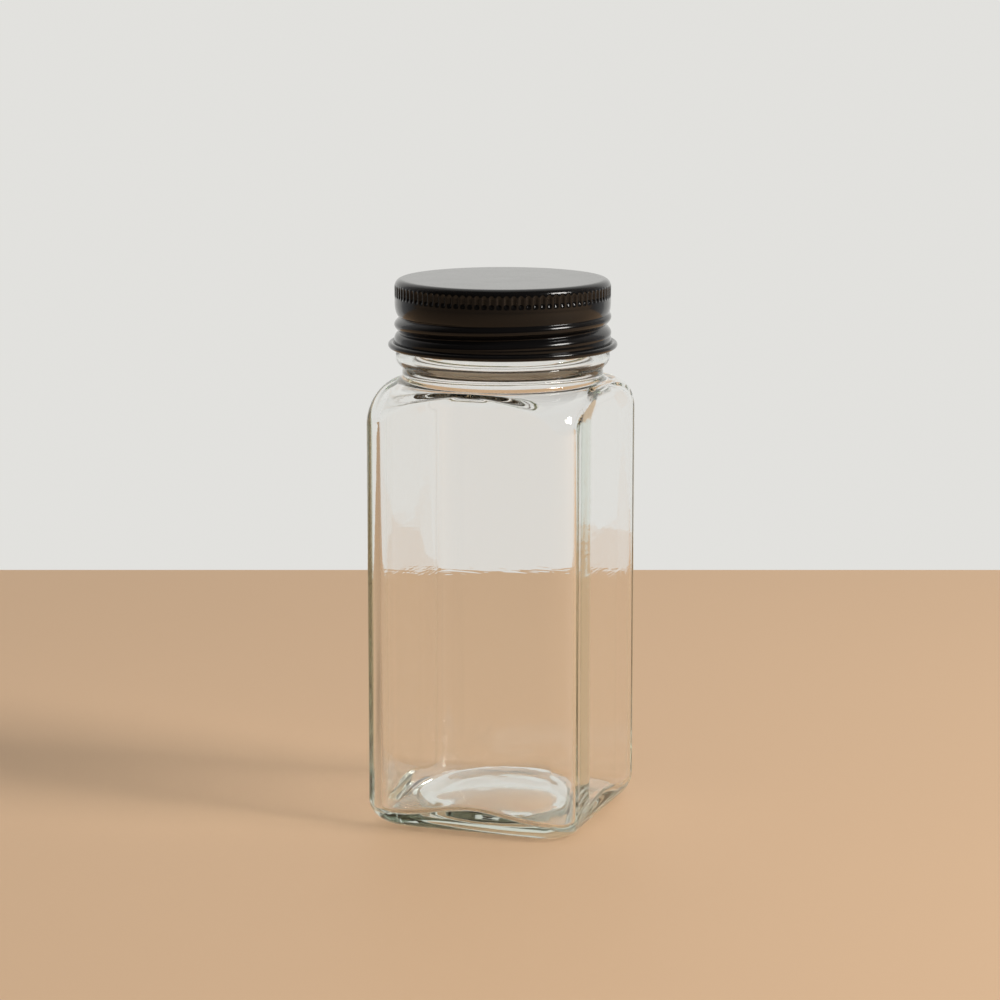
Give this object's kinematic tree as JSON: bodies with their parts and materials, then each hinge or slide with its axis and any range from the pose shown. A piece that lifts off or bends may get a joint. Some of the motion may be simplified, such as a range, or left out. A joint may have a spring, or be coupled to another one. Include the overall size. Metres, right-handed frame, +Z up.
{
  "type": "spice jar",
  "caption": "Square clear glass spice jar with rounded corners, a threaded round neck, a push-in plastic sifter and a black rolled-thread metal screw lid with a foam liner.",
  "frame": {"origin": "centre of the base, on the plane of the bearing ring that the jar stands on", "axes": "+Z up along the neck and lid axis; the four flat sides face +X, -X, +Y and -Y"},
  "size_m": [0.0454, 0.0454, 0.1081],
  "materials": {
    "clear_glass": "clear flint glass, glossy, slightly wavy inside",
    "sifter_plastic": "natural moulded plastic, satin",
    "liner_foam": "white foam, matt",
    "black_lacquered_metal": "black lacquer, satin gloss"
  },
  "bodies": {
    "jar": {"jar": "clear_glass", "shaker_insert": "sifter_plastic"},
    "liner": {"liner": "liner_foam"},
    "lid": {"lid": "black_lacquered_metal"}
  },
  "joints": [
    {"name": "lid_rise", "type": "slide", "parent": "jar", "child": "liner", "axis": [0, 0, 1], "range_m": [0, 0.0143]},
    {"name": "lid_turn", "type": "hinge", "parent": "liner", "child": "lid", "pos_m": [0, 0, 0.1], "axis": [0, 0, 1], "range_deg": [0, 1620]}
  ],
  "couplings": [
    {"joint": "lid_rise", "follows": "lid_turn", "m_per_rad": 0.00050532}
  ]
}
